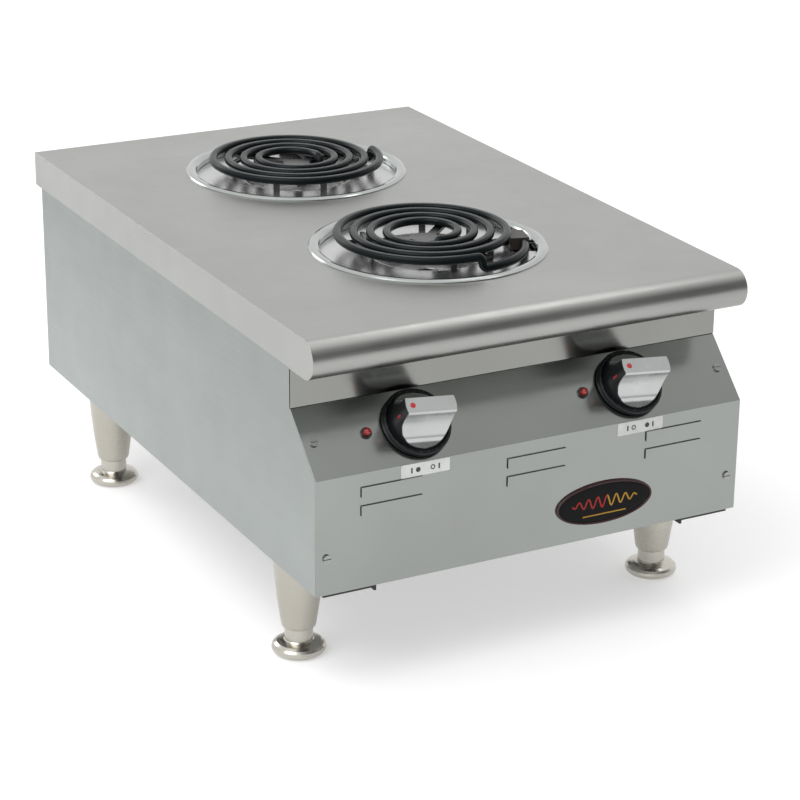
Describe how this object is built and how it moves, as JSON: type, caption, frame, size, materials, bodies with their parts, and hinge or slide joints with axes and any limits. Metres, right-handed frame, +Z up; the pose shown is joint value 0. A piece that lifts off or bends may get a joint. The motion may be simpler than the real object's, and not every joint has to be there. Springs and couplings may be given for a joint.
{
  "type": "countertop electric hot plate",
  "caption": "Countertop electric hot plate, in-line tilting coil burners over drip pans, sloped front with dial knobs and lamps, adjustable legs.",
  "frame": {"origin": "on the floor, under the middle of the bounding box", "axes": "+Z up, +X to the operator's right, -Y towards the operator and the knobs"},
  "size_m": [0.4572, 0.6959, 0.3592],
  "materials": {
    "deck_steel": "brushed, fine grain across the width",
    "chrome_trim": "bright chrome",
    "chrome_pan": "bright chrome",
    "side_steel": "brushed, fine grain",
    "strip_steel": "polished strip",
    "front_steel": "brushed, fine grain",
    "inner_steel": "plain galvanised sheet",
    "rail_steel": "dark matt",
    "fastener_steel": "plated",
    "badge_black": "gloss",
    "badge_red": "gloss",
    "label_white": "satin film",
    "bezel_black": "gloss",
    "lamp_red": "clear red",
    "switch_phenolic": "moulded",
    "dial_black": "gloss",
    "grip_chrome": "satin chrome",
    "coil_sheath": "oxidised nickel alloy sheath",
    "spider_steel": "heat-darkened",
    "receptacle_brown": "dull",
    "terminal_black": "moulded",
    "lug_brass": "plain",
    "wire_glass": "woven glass sleeve",
    "wire_red": "insulated",
    "leg_nickel": "satin nickel plate",
    "foot_nickel": "satin nickel plate"
  },
  "bodies": {
    "cabinet": {"top_panel": "deck_steel", "trim_ring_front": "chrome_trim", "trim_ring_rear": "chrome_trim", "drip_pan_front": "chrome_pan", "drip_pan_rear": "chrome_pan", "side_panel_left": "side_steel", "side_panel_right": "side_steel", "back_panel": "side_steel", "front_strip": "strip_steel", "control_panel": "front_steel", "base_pan": "inner_steel", "leg_rail_left": "rail_steel", "leg_rail_right": "rail_steel", "heat_shield": "inner_steel", "control_baffle": "inner_steel", "control_panel_screws": "fastener_steel", "back_panel_screws": "fastener_steel", "leg_nuts": "fastener_steel", "badge_plate": "badge_black", "badge_rim": "badge_red", "burner_label_left": "label_white", "burner_label_right": "label_white", "pilot_body_left": "bezel_black", "pilot_body_right": "bezel_black", "pilot_lens_left": "lamp_red", "pilot_lens_right": "lamp_red", "switch_left": "switch_phenolic", "switch_right": "switch_phenolic", "switch_nuts": "fastener_steel", "pivot_bracket_front": "inner_steel", "pivot_bracket_rear": "inner_steel", "pivot_pins": "fastener_steel", "terminal_block": "terminal_black", "ground_lug": "lug_brass", "wiring_front_burner": "wire_glass", "wiring_rear_burner": "wire_glass", "wiring_supply": "wire_red", "leg_front_left": "leg_nickel", "leg_front_right": "leg_nickel", "leg_rear_left": "leg_nickel", "leg_rear_right": "leg_nickel"},
    "front_element": {"heating_coil_front": "coil_sheath", "coil_spider_front": "spider_steel", "receptacle_front": "receptacle_brown"},
    "rear_element": {"heating_coil_rear": "coil_sheath", "coil_spider_rear": "spider_steel", "receptacle_rear": "receptacle_brown"},
    "left_knob": {"knob_dial_left": "dial_black", "knob_grip_left": "grip_chrome", "switch_shaft_left": "fastener_steel"},
    "right_knob": {"knob_dial_right": "dial_black", "knob_grip_right": "grip_chrome", "switch_shaft_right": "fastener_steel"},
    "front_left_foot": {"foot_front_left": "foot_nickel"},
    "front_right_foot": {"foot_front_right": "foot_nickel"},
    "rear_left_foot": {"foot_rear_left": "foot_nickel"},
    "rear_right_foot": {"foot_rear_right": "foot_nickel"}
  },
  "joints": [
    {"name": "front_element_tilt", "type": "hinge", "parent": "cabinet", "child": "front_element", "pos_m": [0.09456, -0.15314, 0.328], "axis": [0.2588, 0.9659, 0], "range_deg": [0, 18]},
    {"name": "rear_element_tilt", "type": "hinge", "parent": "cabinet", "child": "rear_element", "pos_m": [0.03483, 0.26065, 0.328], "axis": [-0.9272, 0.3746, 0], "range_deg": [0, 18]},
    {"name": "left_knob_turn", "type": "hinge", "parent": "cabinet", "child": "left_knob", "pos_m": [-0.114, -0.31, 0.2405], "axis": [0, -0.7071, 0.7071], "continuous": true},
    {"name": "right_knob_turn", "type": "hinge", "parent": "cabinet", "child": "right_knob", "pos_m": [0.114, -0.31, 0.2405], "axis": [0, -0.7071, 0.7071], "continuous": true},
    {"name": "front_left_foot_adjust", "type": "slide", "parent": "cabinet", "child": "front_left_foot", "axis": [0, 0, -1], "range_m": [0, 0.02]},
    {"name": "front_right_foot_adjust", "type": "slide", "parent": "cabinet", "child": "front_right_foot", "axis": [0, 0, -1], "range_m": [0, 0.02]},
    {"name": "rear_left_foot_adjust", "type": "slide", "parent": "cabinet", "child": "rear_left_foot", "axis": [0, 0, -1], "range_m": [0, 0.02]},
    {"name": "rear_right_foot_adjust", "type": "slide", "parent": "cabinet", "child": "rear_right_foot", "axis": [0, 0, -1], "range_m": [0, 0.02]}
  ]
}
